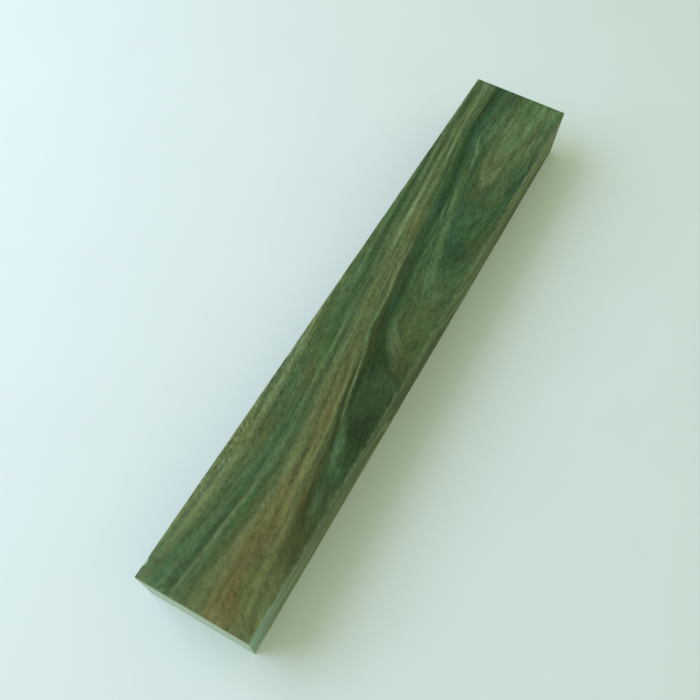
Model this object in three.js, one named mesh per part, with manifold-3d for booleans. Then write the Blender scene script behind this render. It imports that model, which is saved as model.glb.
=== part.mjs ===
// Sandalwood block: one sawn and planed blank of green sandalwood.
// Millimetres, +Z up. X runs along the grain, Y across, and the underside lies on z = 0.
import * as THREE from 'three';
import * as BufferGeometryUtils from 'three/addons/utils/BufferGeometryUtils.js';
import Module from 'manifold-3d';

// Driving dimensions of the blank
const LENGTH = 300;
const WIDTH = 49.2;
const HEIGHT = 28.6;

// The arrises are only just eased by the planer and by handling
const ARRIS_EASE = 0.35;
const EASE_STEPS = 2;

// The upright arrises at the ends are rounded by a touch more than that
const CORNER_ROUND = 0.15;
const CORNER_STEPS = 2;

// Each end was cut a little out of square: how far one side stands back from the other
const NEAR_END_SKEW = 1.2;
const FAR_END_SKEW = 0.8;

// How finely the bite that a knock leaves in an arris is faceted
const CHIP_DETAIL = 1;

// The knocks: which arris, where along it, how long the bite is and how deep it goes
const CHIPS = [
  { arris: 'top left', along: -143.3, length: 3.4, bite: 0.9 },
  { arris: 'top left', along: -41.8, length: 5.0, bite: 0.6 },
  { arris: 'top right', along: -136.4, length: 3.2, bite: 0.9 },
  { arris: 'top right', along: -110.0, length: 2.6, bite: 0.8 },
  { arris: 'top right', along: -48.5, length: 2.8, bite: 0.6 },
  { arris: 'bottom right', along: 62.0, length: 4.2, bite: 0.8 },
  { arris: 'bottom left', along: 96.0, length: 3.6, bite: 0.9 },
];

// Where each long arris runs, as a side of the block in Y and a height in Z
const ARRISES = {
  'top left': { y: WIDTH / 2, z: HEIGHT },
  'top right': { y: -WIDTH / 2, z: HEIGHT },
  'bottom left': { y: WIDTH / 2, z: 0 },
  'bottom right': { y: -WIDTH / 2, z: 0 },
};

const wasm = await Module();
wasm.setup();

// Turns a closed three.js geometry into a solid that can be cut
function solidOf(geometry) {
  const bare = geometry.index ? geometry.clone() : geometry;
  bare.deleteAttribute('normal');
  bare.deleteAttribute('uv');
  const merged = BufferGeometryUtils.mergeVertices(bare, 1e-5);
  return new wasm.Manifold(new wasm.Mesh({
    numProp: 3,
    vertProperties: new Float32Array(merged.attributes.position.array),
    triVerts: new Uint32Array(merged.index.array),
  }));
}

// Turns a cut solid back into a three.js geometry
function geometryOf(solid) {
  const mesh = solid.getMesh();
  const geometry = new THREE.BufferGeometry();
  geometry.setAttribute('position', new THREE.BufferAttribute(mesh.vertProperties, 3));
  geometry.setIndex(new THREE.BufferAttribute(mesh.triVerts, 1));
  geometry.computeVertexNormals();
  return geometry;
}

// The four corners of the blank seen from above, drawn in by the easing that the bevel adds back
function planCorners() {
  const x = LENGTH / 2 - ARRIS_EASE;
  const y = WIDTH / 2 - ARRIS_EASE;
  return [
    new THREE.Vector2(-x, y),
    new THREE.Vector2(-x + NEAR_END_SKEW, -y),
    new THREE.Vector2(x, -y),
    new THREE.Vector2(x - FAR_END_SKEW, y),
  ];
}

// The point a short way from a corner along the side that leads to its neighbour
function stepFrom(corner, neighbour) {
  return neighbour.clone().sub(corner).setLength(CORNER_ROUND).add(corner);
}

// The blank's outline in plan: straight sides joined by tiny curves at the corners
function planOutline() {
  const corners = planCorners();
  const outline = new THREE.Shape();
  corners.forEach((corner, index) => {
    const start = stepFrom(corner, corners.at(index - 1));
    const end = stepFrom(corner, corners[(index + 1) % corners.length]);
    if (index === 0) {
      outline.moveTo(start.x, start.y);
    } else {
      outline.lineTo(start.x, start.y);
    }
    outline.quadraticCurveTo(corner.x, corner.y, end.x, end.y);
  });
  outline.closePath();
  return outline;
}

// The sawn blank with all its arrises eased alike
function sawnBlank() {
  const blank = new THREE.ExtrudeGeometry(planOutline(), {
    depth: HEIGHT - 2 * ARRIS_EASE,
    steps: 1,
    curveSegments: CORNER_STEPS,
    bevelEnabled: true,
    bevelSegments: EASE_STEPS,
    bevelSize: ARRIS_EASE,
    bevelThickness: ARRIS_EASE,
  });
  blank.translate(0, 0, ARRIS_EASE);
  return solidOf(blank);
}

// One knock: a long flat lens of wood lost from an arris
function chipBite({ arris, along, length, bite }) {
  const lens = new THREE.IcosahedronGeometry(1, CHIP_DETAIL);
  lens.scale(length / 2, bite, bite);
  lens.translate(along, ARRISES[arris].y, ARRISES[arris].z);
  return solidOf(lens);
}

function blockGeometry() {
  let block = sawnBlank();
  for (const chip of CHIPS) {
    block = block.subtract(chipBite(chip));
  }
  return geometryOf(block);
}

// Planed green sandalwood: grey-green with a dull satin, no finish on it
const planedWood = new THREE.MeshStandardMaterial({ color: '#4f6b4b', roughness: 0.62, metalness: 0 });

const block = new THREE.Mesh(blockGeometry(), planedWood);
block.name = 'sandalwood_block';

const sandalwoodBlock = new THREE.Group();
sandalwoodBlock.name = 'sandalwood block';
sandalwoodBlock.add(block);

export default sandalwoodBlock;
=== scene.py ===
"""Green sandalwood block: one planed and sawn blank, dressed as bare wood and lit for its portrait.

The block's growth layers are one field through the whole solid, so that the figure on the wide face, the
lines on the sides and the arcs on the sawn ends belong together. The field is bent through growth lines
given on the wide face, and it goes down into the wood at a steady rate.
"""

import logging
from dataclasses import dataclass
from enum import Enum
from math import atan2, cos, hypot, radians, sin

import bpy
import numpy as np
from mathutils import Matrix, Vector


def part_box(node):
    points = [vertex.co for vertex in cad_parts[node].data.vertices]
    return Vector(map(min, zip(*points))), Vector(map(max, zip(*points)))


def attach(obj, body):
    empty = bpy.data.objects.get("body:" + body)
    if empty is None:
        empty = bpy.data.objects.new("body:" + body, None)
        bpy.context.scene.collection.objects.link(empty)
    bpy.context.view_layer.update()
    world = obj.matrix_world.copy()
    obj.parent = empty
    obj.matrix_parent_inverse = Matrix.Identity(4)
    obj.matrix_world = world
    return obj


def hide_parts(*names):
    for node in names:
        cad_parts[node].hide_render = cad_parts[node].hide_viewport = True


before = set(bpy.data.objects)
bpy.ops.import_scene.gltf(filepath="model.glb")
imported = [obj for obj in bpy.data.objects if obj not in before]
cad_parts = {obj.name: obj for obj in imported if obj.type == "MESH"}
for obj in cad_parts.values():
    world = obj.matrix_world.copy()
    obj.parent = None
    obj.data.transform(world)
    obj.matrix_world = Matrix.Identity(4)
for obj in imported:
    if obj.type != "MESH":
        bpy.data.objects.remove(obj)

LOG = logging.getLogger("sandalwood block")
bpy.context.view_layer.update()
NODE_NAME = "sandalwood_block"
MM = 0.001
# A Mix node's two colours by number, because its sockets for plain numbers have the same names
FIRST, SECOND = 6, 7
COLOUR_MIX = {"out": 2, "data_type": "RGBA"}


def linear_colour(hex_colour: str) -> tuple[float, float, float, float]:
    """Turns an sRGB hex colour into linear light.

    Args:
        hex_colour: A colour such as "#32482d".

    Returns:
        Red, green, blue and an alpha of one, as the shader nodes take them.
    """
    levels = np.array([int(hex_colour[i:i + 2], 16) for i in (1, 3, 5)]) / 255.0
    red, green, blue = np.where(levels <= 0.04045, levels / 12.92, ((levels + 0.055) / 1.055) ** 2.4)
    return float(red), float(green), float(blue), 1.0


def add_node(tree: bpy.types.NodeTree, kind: str, inputs: dict | None = None, out: int | str = 0,
             **settings: object) -> bpy.types.NodeSocket | None:
    """Adds one node with its settings, values and links.

    Args:
        tree: The node tree that gets the node.
        kind: The node's type name without "ShaderNode".
        inputs: Socket number or name, and the value or the output socket that goes into it.
        out: The number or name of the output socket to hand back.
        settings: The node's own properties.

    Returns:
        The chosen output socket, or nothing from a node that has none.
    """
    node = tree.nodes.new("ShaderNode" + kind)
    for name, value in settings.items():
        setattr(node, name, value)
    for key, value in (inputs or {}).items():
        if isinstance(value, bpy.types.NodeSocket):
            tree.links.new(value, node.inputs[key])
        else:
            node.inputs[key].default_value = value
    return node.outputs[out] if node.outputs else None


def smooth_step(low: float, high: float, values: np.ndarray) -> np.ndarray:
    """Rises from 0 at the low value to 1 at the high one, along 3 t^2 - 2 t^3."""
    share = np.clip((values - low) / (high - low), 0.0, 1.0)
    return share * share * (3.0 - 2.0 * share)


class Tone(Enum):
    """Tones of green sandalwood heartwood."""

    # Growth layers, from the deep seams to the pale fibres
    DEEP_SEAM = "#294226"
    DARK_TEAL = "#304a2c"
    DARK_BRONZE = "#3b4828"
    TEAL = "#375234"
    SHADED_GREEN = "#415736"
    SEA_GREEN = "#425c3b"
    BRONZE = "#485431"
    LEAF = "#495f3a"
    GREY_GREEN = "#4c6341"
    OLIVE = "#58613a"
    KHAKI = "#606237"
    TAN = "#64643a"
    SOFT_OLIVE = "#5b683f"
    MOSS = "#536848"
    SAGE = "#5a6f4d"
    PALE_OLIVE = "#63724a"
    # Stains and seams
    RUST = "#6f6038"
    RUSSET = "#5c542e"
    ROSE_TAN = "#6d6848"
    PALE_TAN = "#72754a"
    OLIVE_BROWN = "#535632"
    DARK_BROWN = "#383f22"
    GREY_BROWN = "#4a5237"
    YELLOW_OLIVE = "#5c6b39"
    GRASS = "#3f6033"
    BRIGHT_TEAL = "#426548"
    BLUE_TEAL = "#365943"
    DARK_SEA = "#294631"
    BLACK_GREEN = "#1f3518"
    PALE_GREEN = "#64825c"
    PALE_FIBRE = "#778a62"


@dataclass(frozen=True)
class GrowthBand:
    """The wood's tone at one growth level.

    Attributes:
        level: How far the band lies across the growth, in mm.
        near: Its tone in the browner wood towards the near end.
        far: Its tone in the greener wood towards the far end.
    """

    level: float
    near: Tone
    far: Tone


GROWTH_BANDS: tuple[GrowthBand, ...] = (
    GrowthBand(-24.0, Tone.MOSS, Tone.MOSS),
    GrowthBand(-21.6, Tone.MOSS, Tone.MOSS),
    GrowthBand(-20.2, Tone.SEA_GREEN, Tone.LEAF),
    GrowthBand(-18.0, Tone.TEAL, Tone.SHADED_GREEN),
    GrowthBand(-15.6, Tone.TEAL, Tone.TEAL),
    GrowthBand(-12.2, Tone.GREY_GREEN, Tone.GREY_GREEN),
    GrowthBand(-10.2, Tone.LEAF, Tone.SEA_GREEN),
    GrowthBand(-8.4, Tone.SHADED_GREEN, Tone.TEAL),
    GrowthBand(-6.9, Tone.SHADED_GREEN, Tone.TEAL),
    GrowthBand(-6.3, Tone.DARK_TEAL, Tone.DARK_TEAL),
    GrowthBand(-5.0, Tone.DEEP_SEAM, Tone.DEEP_SEAM),
    GrowthBand(-2.6, Tone.DARK_BRONZE, Tone.DARK_TEAL),
    GrowthBand(-1.2, Tone.DARK_BRONZE, Tone.TEAL),
    GrowthBand(-0.3, Tone.BRONZE, Tone.SEA_GREEN),
    GrowthBand(0.4, Tone.OLIVE, Tone.LEAF),
    GrowthBand(1.5, Tone.OLIVE, Tone.SHADED_GREEN),
    GrowthBand(3.0, Tone.OLIVE, Tone.GREY_GREEN),
    GrowthBand(4.8, Tone.KHAKI, Tone.SAGE),
    GrowthBand(6.8, Tone.TAN, Tone.MOSS),
    GrowthBand(8.4, Tone.KHAKI, Tone.LEAF),
    GrowthBand(10.6, Tone.PALE_OLIVE, Tone.SAGE),
    GrowthBand(12.4, Tone.SOFT_OLIVE, Tone.MOSS),
    GrowthBand(13.8, Tone.LEAF, Tone.SHADED_GREEN),
    GrowthBand(15.2, Tone.GREY_GREEN, Tone.GREY_GREEN),
    GrowthBand(16.4, Tone.MOSS, Tone.SAGE),
    GrowthBand(17.5, Tone.LEAF, Tone.GREY_GREEN),
    GrowthBand(19.0, Tone.SHADED_GREEN, Tone.TEAL),
    GrowthBand(21.4, Tone.GREY_GREEN, Tone.GREY_GREEN),
    GrowthBand(26.0, Tone.LEAF, Tone.LEAF),
    GrowthBand(28.8, Tone.PALE_OLIVE, Tone.PALE_OLIVE),
    GrowthBand(30.4, Tone.MOSS, Tone.MOSS),
    GrowthBand(32.0, Tone.PALE_OLIVE, Tone.PALE_OLIVE),
)


@dataclass(frozen=True)
class GrowthLine:
    """One growth layer's edge on the wide face.

    Attributes:
        level: How far the layer lies across the growth, in mm.
        path: Points along the line, in mm along and across the block.
    """

    level: float
    path: tuple[tuple[float, float], ...]


GROWTH_LINES: tuple[GrowthLine, ...] = (
    GrowthLine(29.0, ((-150, 22.1), (-129.5, 20.5), (-109.5, 19.5), (-84, 18.5), (-69, 19.9), (-49, 21.3),
                      (-34, 22.6), (-19, 24), (11, 26), (60.5, 29))),
    GrowthLine(20.0, ((-149.5, 12.4), (-129.5, 10.8), (-109, 9.3), (-88.5, 8.4), (-73.5, 8.8), (-58.5, 10.5),
                      (-43.5, 12.4), (-28.5, 14.1), (-13.5, 15.7), (1.5, 16.8), (16.5, 18.1), (31, 19.6),
                      (51, 21.2), (75.5, 23), (100, 24.8), (149, 26.9))),
    GrowthLine(17.0, ((-149.5, 10), (-129.5, 8.2), (-109, 6.6), (-88.5, 5.8), (-73.5, 6.3), (-58.5, 8.2),
                      (-43.5, 10), (-28.5, 11.3), (-13.5, 12.7), (1.5, 14.2), (16.5, 15.7), (31, 17.1),
                      (51, 18.9), (75.5, 21), (100, 22.7), (149, 24.5))),
    GrowthLine(12.0, ((-149.5, 0.5), (-129, 0.6), (-103.5, 0.2), (-88.5, -0.4), (-76.5, 0), (-68.5, 1.2),
                      (-58.5, 2.6), (-48.5, 4.4), (-38.5, 5.7), (-23.5, 6.9), (-8.5, 8.9), (11.5, 10.7),
                      (21.5, 11.9), (31.5, 13.1), (46, 14.7), (61, 15.9), (80.5, 17.6), (100.5, 18.9),
                      (125, 19.8), (149.5, 20.5))),
    GrowthLine(0.0, ((-148.5, -27.3), (-128.5, -23.7), (-108, -19.6), (-88, -15.5), (-78, -13.5), (-68, -12),
                     (-58, -10.5), (-48, -8.4), (-38, -6.5), (-28, -4.5), (-23, -3.4), (-18, -1.9),
                     (-13, -0.1), (-6, 0.3), (2, 0.8), (12, 2.2), (21.5, 3.4), (41.5, 5.9), (61, 7.9),
                     (81, 10.1), (100.5, 12.7), (115, 14.1), (128, 13.3), (149.5, 12.5))),
    GrowthLine(-3.3, ((-72.5, -21.5), (-63.5, -18), (-58, -15.4), (-48, -11.8), (-38, -9.4), (-28, -7.1),
                      (-18, -4.7), (-8, -2.9), (2, -2.1), (22, 0.3), (51.5, 3.6), (81, 7.8), (100.5, 10.4),
                      (120, 11.8), (149.5, 10.2))),
    GrowthLine(-6.0, ((-29.5, -25.9), (-28.5, -20.9), (-27, -17.9), (-23.5, -14.4), (-20, -11.2), (-15, -8.3),
                      (-10, -6.5), (-3, -5.9), (7, -5.1), (17, -3.8), (27, -2.5), (37, -1.5), (46.5, -0.7),
                      (56.5, 0.5), (66.5, 2.2), (76, 4.2), (86, 5.9), (96, 7.2), (108.5, 9.2), (120.5, 10),
                      (135, 9.4), (149.5, 8.8))),
    GrowthLine(-7.8, ((-27.4, -21.6), (-25.6, -17.9), (-22.2, -15), (-18.8, -12), (-13.9, -9.3),
                      (-8.8, -7.7))),
    GrowthLine(-11.0, ((26.5, -25.7), (19.5, -21.7), (14.5, -17.8), (13.5, -14.8), (16, -12.2), (22, -10.1),
                       (32, -8), (42, -5.8), (51.5, -3.8), (61.5, -2.4), (73.5, 0.6), (81, 2.1), (91, 3),
                       (98, 3.8), (103.5, 5.4), (110.5, 6.8), (120.5, 6.6), (135, 5.7), (150, 4.8))),
    GrowthLine(-13.5, ((62, -24.6), (42.5, -23.2), (31.5, -19.7), (26.5, -15.8), (29, -12.3), (37, -9.3),
                       (47, -6.4), (56.5, -4.8), (66.5, -2.8), (76.5, -0.6), (91, 0.4), (106, 1.7),
                       (120.5, 2.8), (150, 1.8))),
    GrowthLine(-16.8, ((52, -12.7), (150.5, -21.4))),
    GrowthLine(-20.0, ((150.5, -16.4), (121, -15.3), (106.5, -14.8), (96.5, -13.6), (86.5, -12.2),
                       (77.5, -11), (73.5, -8.9), (77.5, -6.7), (83.5, -4.9), (91, -2.9), (98, -1.7),
                       (111, -1.3), (150, -2.1))),
    GrowthLine(-24.0, ((101, -8.3), (125.5, -8.9), (150, -8.8))),
)


@dataclass(frozen=True)
class Stain:
    """A soft-edged patch of another tone, longest along the fibres.

    Attributes:
        along: Its middle on the wide face along the block, in mm.
        across: Its middle on the wide face across the block, in mm.
        length: Its full width at half strength along the fibres, in mm.
        breadth: Its full width at half strength across the growth layers, in mm.
        tone: The tone that it brings.
        amount: How much of that tone it has at its middle.
    """

    along: float
    across: float
    length: float
    breadth: float
    tone: Tone
    amount: float


STAINS: tuple[Stain, ...] = (
    # Near end, teal side
    Stain(-142.5, 16.5, 26, 9, Tone.BRIGHT_TEAL, 0.5),
    Stain(-117, 10, 40, 4, Tone.TEAL, 0.4),
    Stain(-106, 4, 28, 4, Tone.GRASS, 0.35),
    Stain(-146.5, 0.9, 12, 5, Tone.SOFT_OLIVE, 0.5),
    Stain(-112, 12, 8, 3, Tone.SAGE, 0.4),
    Stain(-82.5, 8, 26, 4, Tone.BRIGHT_TEAL, 0.25),
    # Near end, brown side
    Stain(-121, -4.3, 50, 4, Tone.RUST, 0.35),
    Stain(-140, -11.6, 14, 6, Tone.RUST, 0.6),
    Stain(-120.5, -9.7, 34, 5, Tone.RUSSET, 0.2),
    Stain(-106.5, -9.1, 22, 3.6, Tone.RUSSET, 0.5),
    Stain(-90.5, -5.2, 18, 2.2, Tone.RUST, 0.55),
    Stain(-98.5, -10.7, 12, 3, Tone.PALE_TAN, 0.45),
    Stain(-98, -5.6, 24, 2.2, Tone.PALE_TAN, 0.6),
    Stain(-96, -7.7, 20, 1.8, Tone.KHAKI, 0.5),
    Stain(-145, -8.2, 12, 3, Tone.PALE_TAN, 0.5),
    Stain(-136, -19.8, 30, 4, Tone.PALE_OLIVE, 0.6),
    Stain(-98, -17.3, 40, 2, Tone.DARK_BRONZE, 0.6),
    Stain(-66, -11.4, 18, 1.6, Tone.DARK_BRONZE, 0.75),
    Stain(-81, -7.8, 26, 3, Tone.PALE_TAN, 0.4),
    Stain(-135.5, -16.2, 16, 4, Tone.YELLOW_OLIVE, 0.4),
    Stain(-128.5, -13.1, 12, 3, Tone.YELLOW_OLIVE, 0.35),
    Stain(-114, -20.1, 24, 5, Tone.OLIVE_BROWN, 0.5),
    Stain(-91, -13.5, 32, 3, Tone.OLIVE_BROWN, 0.75),
    Stain(-106, -19.6, 20, 2.6, Tone.DARK_BROWN, 0.55),
    Stain(-85, -22.6, 18, 4, Tone.OLIVE_BROWN, 0.7),
    # Spots by the near half of the left arris
    Stain(-83, 21.6, 12, 5, Tone.PALE_TAN, 0.4),
    Stain(-78, 15, 16, 6, Tone.OLIVE_BROWN, 0.55),
    Stain(-72, 22.1, 10, 4, Tone.YELLOW_OLIVE, 0.5),
    Stain(-57, 22.3, 28, 1.8, Tone.LEAF, 0.6),
    Stain(-103.5, 21.1, 32, 4, Tone.PALE_OLIVE, 0.4),
    Stain(-26.5, 23.3, 16, 1.6, Tone.PALE_TAN, 0.45),
    Stain(-12.5, 22.4, 18, 2.2, Tone.LEAF, 0.75),
    Stain(-25, 18.6, 16, 2, Tone.SHADED_GREEN, 0.5),
    Stain(-85, 20.3, 16, 3, Tone.YELLOW_OLIVE, 0.65),
    Stain(-85, 16.3, 14, 2, Tone.PALE_OLIVE, 0.5),
    Stain(-132, 13.4, 40, 2.5, Tone.SAGE, 0.4),
    Stain(-44.5, 12.1, 24, 6, Tone.OLIVE_BROWN, 0.45),
    Stain(-29.5, 12.6, 17, 5, Tone.GRASS, 0.55),
    Stain(-60.5, 7, 16, 4, Tone.BRIGHT_TEAL, 0.35),
    Stain(-52.5, 17.1, 22, 5, Tone.BRIGHT_TEAL, 0.3),
    Stain(-37.5, 22.5, 13, 4, Tone.PALE_GREEN, 0.4),
    # Middle, brown streaks
    Stain(-60.5, 1, 20, 1.8, Tone.ROSE_TAN, 0.45),
    Stain(-57, -5.3, 26, 2.4, Tone.KHAKI, 0.7),
    Stain(-75, -1.2, 16, 2, Tone.SOFT_OLIVE, 0.7),
    Stain(-45, 3.4, 18, 2.4, Tone.KHAKI, 0.4),
    Stain(-25, 7.1, 20, 2, Tone.SAGE, 0.7),
    Stain(-63, -3.8, 14, 1.8, Tone.RUST, 0.6),
    Stain(-52, -2.6, 12, 2, Tone.RUST, 0.3),
    Stain(-28, 1.6, 26, 4, Tone.OLIVE_BROWN, 0.3),
    Stain(-35, 2.6, 20, 2, Tone.PALE_TAN, 0.3),
    Stain(-37, -2.4, 10, 1.6, Tone.YELLOW_OLIVE, 0.4),
    Stain(1.5, 7.7, 22, 5, Tone.YELLOW_OLIVE, 0.5),
    Stain(19, 5.5, 13, 2.2, Tone.ROSE_TAN, 0.6),
    Stain(20.5, 8.9, 16, 3, Tone.ROSE_TAN, 0.35),
    Stain(30.5, 7.5, 15, 3, Tone.ROSE_TAN, 0.5),
    Stain(40.5, 10.3, 24, 4, Tone.YELLOW_OLIVE, 0.55),
    Stain(45.5, 8.1, 10, 2, Tone.RUSSET, 0.5),
    Stain(21.5, 14.1, 13, 3.5, Tone.YELLOW_OLIVE, 0.35),
    Stain(56, 13.5, 13, 2, Tone.RUST, 0.45),
    Stain(65, 12.3, 12, 2, Tone.PALE_GREEN, 0.4),
    Stain(78, 13.5, 15, 3.5, Tone.YELLOW_OLIVE, 0.5),
    Stain(45, 9.7, 18, 2, Tone.PALE_TAN, 0.5),
    Stain(74, 14.4, 12, 1.6, Tone.LEAF, 0.65),
    Stain(36, 16, 18, 1.8, Tone.SAGE, 0.7),
    Stain(105, 12.2, 18, 1.6, Tone.TEAL, 0.4),
    Stain(130, 19.6, 22, 2.6, Tone.GREY_GREEN, 0.65),
    Stain(146, 18.1, 10, 1.4, Tone.PALE_GREEN, 0.9),
    Stain(24, 11.8, 22, 2, Tone.PALE_OLIVE, 0.5),
    Stain(20, 13, 60, 1.8, Tone.SAGE, 0.4),
    Stain(72, 16.1, 50, 2.4, Tone.PALE_OLIVE, 0.5),
    Stain(95, 16.3, 12, 1.6, Tone.SHADED_GREEN, 0.7),
    Stain(96, 19.9, 13, 2.2, Tone.DARK_BRONZE, 0.75),
    Stain(138, 15.8, 26, 2, Tone.SHADED_GREEN, 0.6),
    Stain(104, 23.4, 10, 2, Tone.SAGE, 0.6),
    # Middle, left side
    Stain(16.5, 17.6, 16, 3, Tone.SHADED_GREEN, 0.5),
    Stain(1.5, 19.1, 16, 4, Tone.PALE_GREEN, 0.3),
    Stain(17, 20.5, 14, 2.5, Tone.PALE_GREEN, 0.35),
    Stain(43, 20.4, 40, 2, Tone.DARK_TEAL, 0.65),
    Stain(29, 18.8, 32, 2.2, Tone.SHADED_GREEN, 0.4),
    Stain(46, 23, 30, 2.4, Tone.PALE_GREEN, 0.4),
    Stain(54, 19, 20, 2, Tone.LEAF, 0.8),
    Stain(-12, 14.1, 34, 2, Tone.SHADED_GREEN, 0.6),
    Stain(1, 13.2, 40, 2.4, Tone.SHADED_GREEN, 0.55),
    Stain(5.5, 15.6, 38, 2.4, Tone.TEAL, 0.45),
    # Deep seam and the arcs by the near right side
    Stain(-76, -19.8, 30, 4, Tone.DARK_TEAL, 0.95),
    Stain(-94, -18.7, 20, 2, Tone.BLUE_TEAL, 0.25),
    Stain(-65, -14.2, 22, 2.2, Tone.PALE_GREEN, 0.65),
    Stain(-51.5, -19.5, 26, 4, Tone.BLACK_GREEN, 0.75),
    Stain(-62, -19.8, 18, 3.5, Tone.BLACK_GREEN, 0.5),
    Stain(-35.5, -17.9, 14, 4, Tone.GREY_GREEN, 0.4),
    Stain(-32, -10.1, 30, 3, Tone.BLACK_GREEN, 0.25),
    Stain(-17, -3.9, 20, 3, Tone.DARK_BROWN, 0.7),
    Stain(5, -2.4, 15, 3, Tone.DARK_SEA, 0.35),
    Stain(-5, -5.6, 16, 1.4, Tone.SHADED_GREEN, 0.7),
    Stain(14, -0.7, 9, 3, Tone.DARK_BROWN, 0.35),
    Stain(19, 2.1, 18, 2, Tone.DARK_BROWN, 0.5),
    Stain(28.5, 2.1, 16, 3, Tone.DARK_SEA, 0.35),
    # Middle, right side
    Stain(-22.5, -17.9, 9, 3, Tone.GREY_BROWN, 0.8),
    Stain(-15, -16.8, 24, 6, Tone.DARK_BRONZE, 0.55),
    Stain(-17.5, -13.9, 9, 2.4, Tone.GREY_BROWN, 0.65),
    Stain(-11.5, -9.1, 13, 2.4, Tone.PALE_GREEN, 0.5),
    Stain(-6.5, -13.3, 16, 7, Tone.YELLOW_OLIVE, 0.3),
    Stain(-1, -9, 12, 3, Tone.GREY_BROWN, 0.35),
    Stain(17, -7.6, 16, 3, Tone.GREY_BROWN, 0.3),
    Stain(24, -9.7, 16, 2.5, Tone.PALE_GREEN, 0.35),
    Stain(10, -8.4, 22, 2.4, Tone.SAGE, 0.4),
    Stain(55, -6, 14, 2, Tone.BRIGHT_TEAL, 0.7),
    Stain(30, -16.5, 24, 8, Tone.TEAL, 0.35),
    Stain(8.5, -18.3, 12, 4, Tone.OLIVE_BROWN, 0.35),
    Stain(34, -2.6, 46, 2.8, Tone.GREY_GREEN, 0.65),
    Stain(42, -5.3, 34, 2.6, Tone.PALE_GREEN, 0.3),
    Stain(61, -8.2, 24, 6, Tone.BLUE_TEAL, 0.5),
    Stain(45, -13.7, 22, 6, Tone.DARK_SEA, 0.4),
    Stain(59, -18.2, 18, 5, Tone.GRASS, 0.4),
    Stain(52, -21.2, 18, 3, Tone.OLIVE_BROWN, 0.35),
    Stain(71.5, -8.5, 8, 4, Tone.DARK_SEA, 0.5),
    Stain(80.5, -9.1, 15, 4, Tone.GREY_BROWN, 0.7),
    Stain(89.5, -8.7, 16, 4, Tone.PALE_OLIVE, 0.4),
    Stain(-26, -19.4, 10, 5, Tone.BRONZE, 0.6),
    Stain(-25, -24, 12, 2.2, Tone.DARK_BRONZE, 0.7),
    Stain(-19, -11.8, 6, 2, Tone.SAGE, 0.4),
    # Far end
    Stain(62.5, 6.7, 14, 3, Tone.BLUE_TEAL, 0.5),
    Stain(78, 8.2, 26, 2.4, Tone.DARK_TEAL, 0.5),
    Stain(67.5, 4.5, 14, 2, Tone.DARK_SEA, 0.5),
    Stain(63.5, -0.8, 18, 2.4, Tone.PALE_GREEN, 0.35),
    Stain(100.5, 8.4, 30, 3.4, Tone.DARK_SEA, 0.5),
    Stain(122.5, 9.2, 38, 5, Tone.BLUE_TEAL, 0.4),
    Stain(138, 11.6, 30, 2.4, Tone.BLACK_GREEN, 0.4),
    Stain(121.5, 2.1, 16, 4, Tone.PALE_GREEN, 0.35),
    Stain(136, 4.1, 30, 2, Tone.DARK_SEA, 0.3),
    Stain(94, 0.6, 8, 2, Tone.DARK_SEA, 0.55),
    Stain(125, -0.4, 22, 2, Tone.PALE_GREEN, 0.45),
    Stain(99, -6.1, 16, 3.4, Tone.OLIVE_BROWN, 0.35),
    Stain(107, -11.6, 14, 3.4, Tone.YELLOW_OLIVE, 0.45),
    Stain(120, -10.6, 24, 5, Tone.SAGE, 0.5),
    Stain(97.5, -19, 18, 4.5, Tone.BLUE_TEAL, 0.3),
    Stain(131, -17.9, 44, 5, Tone.SAGE, 0.6),
    Stain(129, -15.9, 22, 1.8, Tone.OLIVE_BROWN, 0.35),
    Stain(147.5, 19, 8, 9, Tone.PALE_GREEN, 0.35),
    Stain(104.5, 6.2, 12, 2, Tone.BLUE_TEAL, 0.7),
    Stain(118, 6.4, 24, 3, Tone.BRIGHT_TEAL, 0.6),
    Stain(128, 0.8, 30, 2.5, Tone.PALE_GREEN, 0.4),
    Stain(144, -13.2, 17, 3.4, Tone.PALE_GREEN, 1.0),
    Stain(145.5, -20, 14, 4, Tone.PALE_GREEN, 0.55),
    Stain(114, -10.4, 12, 2, Tone.PALE_GREEN, 0.4),
    Stain(121, -4.6, 16, 2, Tone.GREY_GREEN, 0.55),
    Stain(130, -12.4, 24, 2, Tone.PALE_GREEN, 0.4),
    Stain(145, -6, 18, 4, Tone.GRASS, 0.5),
    Stain(145, 10, 13, 4, Tone.BRIGHT_TEAL, 0.35),
    Stain(112, 13.8, 12, 2, Tone.BRIGHT_TEAL, 0.5),
    Stain(121, 16.3, 16, 1.8, Tone.TEAL, 0.6),
    Stain(113, 1.6, 10, 1.8, Tone.PALE_GREEN, 0.35),
    Stain(112, -2.4, 10, 3, Tone.LEAF, 0.6),
    Stain(82, -16.2, 34, 3.4, Tone.GREY_GREEN, 0.75),
    Stain(73, -11.4, 16, 3, Tone.TEAL, 0.4),
    Stain(63, -18.6, 18, 4, Tone.TEAL, 0.5),
    Stain(115, -18.8, 26, 4, Tone.SAGE, 0.6),
)


@dataclass(frozen=True)
class Seam:
    """A thin line of another tone along the grain, with tapering ends.

    Attributes:
        start: Where it begins on the wide face, in mm along and across the block.
        end: Where it ends there.
        breadth: Its full width at half strength across the growth layers, in mm.
        tone: The tone that it brings.
        amount: How much of that tone it has at its middle.
    """

    start: tuple[float, float]
    end: tuple[float, float]
    breadth: float
    tone: Tone
    amount: float


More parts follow.
